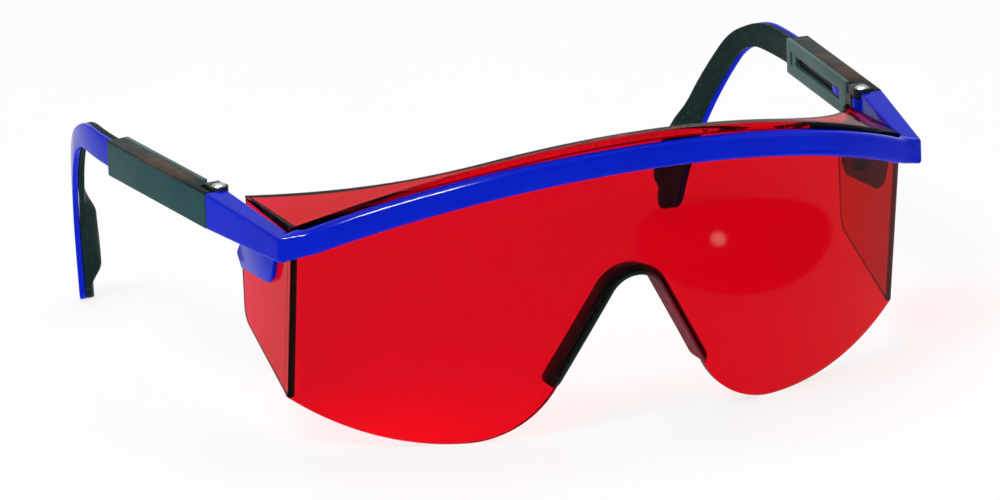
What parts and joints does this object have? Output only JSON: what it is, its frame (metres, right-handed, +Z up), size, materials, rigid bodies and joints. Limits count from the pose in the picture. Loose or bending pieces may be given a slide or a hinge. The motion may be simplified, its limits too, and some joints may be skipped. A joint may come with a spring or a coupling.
{
  "type": "laser viewing glasses",
  "caption": "Wrap-round filter spectacles with a one-piece tinted shield, arched brow bar and temples that fold, tilt and lengthen.",
  "frame": {"origin": "on the table, under the middle of the whole object at rest, between the lens lobes and the ear tips", "axes": "+Z up, front of the lens towards -Y, the wearer's left temple at +X"},
  "size_m": [0.162, 0.1572, 0.0659],
  "materials": {
    "bar_blue": "glossy moulded blue",
    "filter_red": "clear glossy red filter",
    "nose_dark": "soft satin, ribbed",
    "temple_black": "satin moulded black",
    "soft_black": "soft matt",
    "pin_steel": "polished"
  },
  "bodies": {
    "frame": {"brow_bar": "bar_blue", "lens": "filter_red", "nose_pad": "nose_dark"},
    "right_hinge": {"right_hinge_block": "temple_black", "right_hinge_pin": "pin_steel"},
    "right_temple": {"right_sleeve": "temple_black", "right_sleeve_cover": "temple_black", "right_tilt_pin": "pin_steel"},
    "right_ear": {"right_ear_shell": "bar_blue", "right_ear_pad": "soft_black"},
    "left_hinge": {"left_hinge_block": "temple_black", "left_hinge_pin": "pin_steel"},
    "left_temple": {"left_sleeve": "temple_black", "left_sleeve_cover": "temple_black", "left_tilt_pin": "pin_steel"},
    "left_ear": {"left_ear_shell": "bar_blue", "left_ear_pad": "soft_black"}
  },
  "joints": [
    {"name": "right_fold", "type": "hinge", "parent": "frame", "child": "right_hinge", "pos_m": [0.0727, -0.02398, 0.04715], "axis": [0, 0, 1], "range_deg": [0, 94]},
    {"name": "right_tilt", "type": "hinge", "parent": "right_hinge", "child": "right_temple", "pos_m": [0.07358, -0.01452, 0.04715], "axis": [0.9957, -0.0924, 0], "range_deg": [-8, 8]},
    {"name": "right_length", "type": "slide", "parent": "right_temple", "child": "right_ear", "axis": [0.0924, 0.9957, 0], "range_m": [0, 0.02]},
    {"name": "left_fold", "type": "hinge", "parent": "frame", "child": "left_hinge", "pos_m": [-0.0727, -0.02398, 0.04715], "axis": [0, 0, -1], "range_deg": [0, 80]},
    {"name": "left_tilt", "type": "hinge", "parent": "left_hinge", "child": "left_temple", "pos_m": [-0.07358, -0.01452, 0.04715], "axis": [0.9957, 0.0924, 0], "range_deg": [-8, 8]},
    {"name": "left_length", "type": "slide", "parent": "left_temple", "child": "left_ear", "axis": [-0.0924, 0.9957, 0], "range_m": [0, 0.02]}
  ]
}
